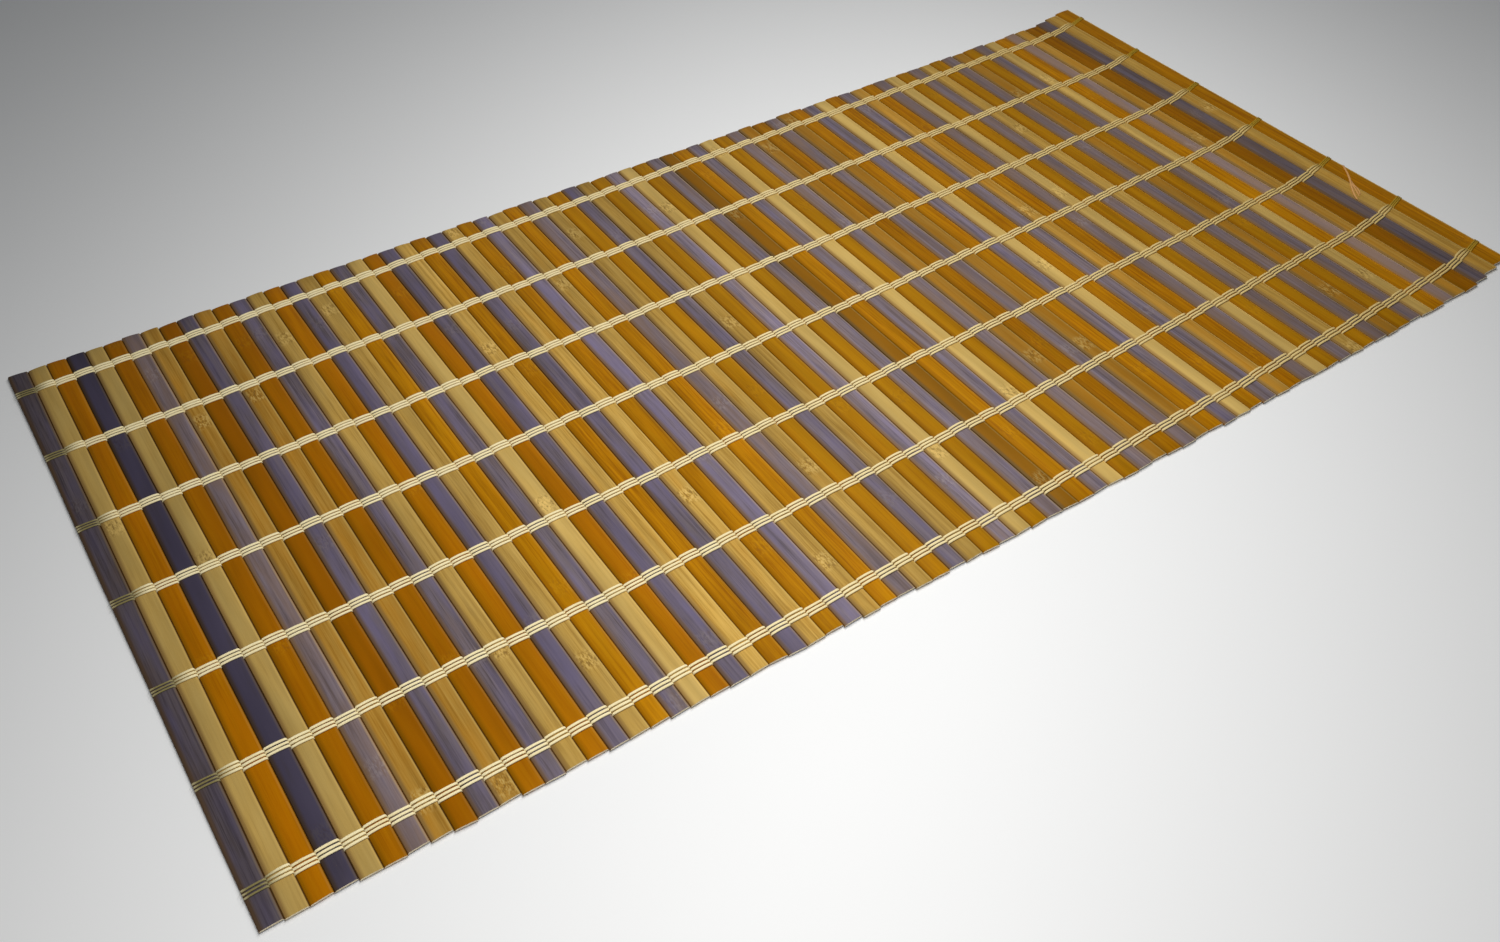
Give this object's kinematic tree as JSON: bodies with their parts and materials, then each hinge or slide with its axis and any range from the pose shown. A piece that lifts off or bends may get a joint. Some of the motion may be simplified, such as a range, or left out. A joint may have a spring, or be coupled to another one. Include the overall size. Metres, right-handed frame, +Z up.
{
  "type": "bamboo table runner",
  "caption": "Flat table runner of split bamboo slats laid side by side in repeating purple, natural and orange, bound across by rows of twined cotton yarn.",
  "frame": {"origin": "middle of the underside of the whole runner, in the plane of the surface it lies on", "axes": "+X along the runner from its purple end to its orange end, +Y across the runner along the slats, +Z up"},
  "size_m": [0.8014, 0.4014, 0.0031],
  "materials": {
    "purple_bamboo": "split bamboo dyed greyish purple, matt, fine grain along the slat",
    "natural_bamboo": "split bamboo left natural, straw to honey coloured, satin, fine grain along the slat",
    "orange_bamboo": "split bamboo dyed burnt orange, satin, fine grain along the slat",
    "cotton_yarn": "cream plied cotton yarn, matt"
  },
  "bodies": {
    "root": {"purple_slat_01": "purple_bamboo", "purple_slat_02": "purple_bamboo", "purple_slat_03": "purple_bamboo", "purple_slat_04": "purple_bamboo", "purple_slat_05": "purple_bamboo", "purple_slat_06": "purple_bamboo", "purple_slat_07": "purple_bamboo", "purple_slat_08": "purple_bamboo", "purple_slat_09": "purple_bamboo", "purple_slat_10": "purple_bamboo", "purple_slat_11": "purple_bamboo", "purple_slat_12": "purple_bamboo", "purple_slat_13": "purple_bamboo", "purple_slat_14": "purple_bamboo", "purple_slat_15": "purple_bamboo", "purple_slat_16": "purple_bamboo", "purple_slat_17": "purple_bamboo", "purple_slat_18": "purple_bamboo", "purple_slat_19": "purple_bamboo", "purple_slat_20": "purple_bamboo", "purple_slat_21": "purple_bamboo", "purple_slat_22": "purple_bamboo", "purple_slat_23": "purple_bamboo", "purple_slat_24": "purple_bamboo", "purple_slat_25": "purple_bamboo", "natural_orange_slats_01": "natural_bamboo", "natural_orange_slats_02": "natural_bamboo", "natural_orange_slats_03": "natural_bamboo", "natural_orange_slats_04": "natural_bamboo", "natural_orange_slats_05": "natural_bamboo", "natural_orange_slats_06": "natural_bamboo", "natural_orange_slats_07": "natural_bamboo", "natural_orange_slats_08": "natural_bamboo", "natural_orange_slats_09": "natural_bamboo", "natural_orange_slats_10": "natural_bamboo", "natural_orange_slats_11": "natural_bamboo", "natural_orange_slats_12": "natural_bamboo", "natural_orange_slats_13": "natural_bamboo", "natural_orange_slats_14": "natural_bamboo", "natural_orange_slats_15": "natural_bamboo", "natural_orange_slats_16": "natural_bamboo", "natural_orange_slats_17": "natural_bamboo", "natural_orange_slats_18": "natural_bamboo", "natural_orange_slats_19": "natural_bamboo", "natural_orange_slats_20": "natural_bamboo", "natural_orange_slats_21": "natural_bamboo", "natural_orange_slats_22": "natural_bamboo", "natural_orange_slats_23": "natural_bamboo", "natural_orange_slats_24": "natural_bamboo", "natural_orange_slats_25": "natural_bamboo", "yarn_row_1": "cotton_yarn", "yarn_row_2": "cotton_yarn", "yarn_row_3": "cotton_yarn", "yarn_row_4": "cotton_yarn", "yarn_row_5": "cotton_yarn", "yarn_row_6": "cotton_yarn", "yarn_row_7": "cotton_yarn"}
  },
  "joints": []
}
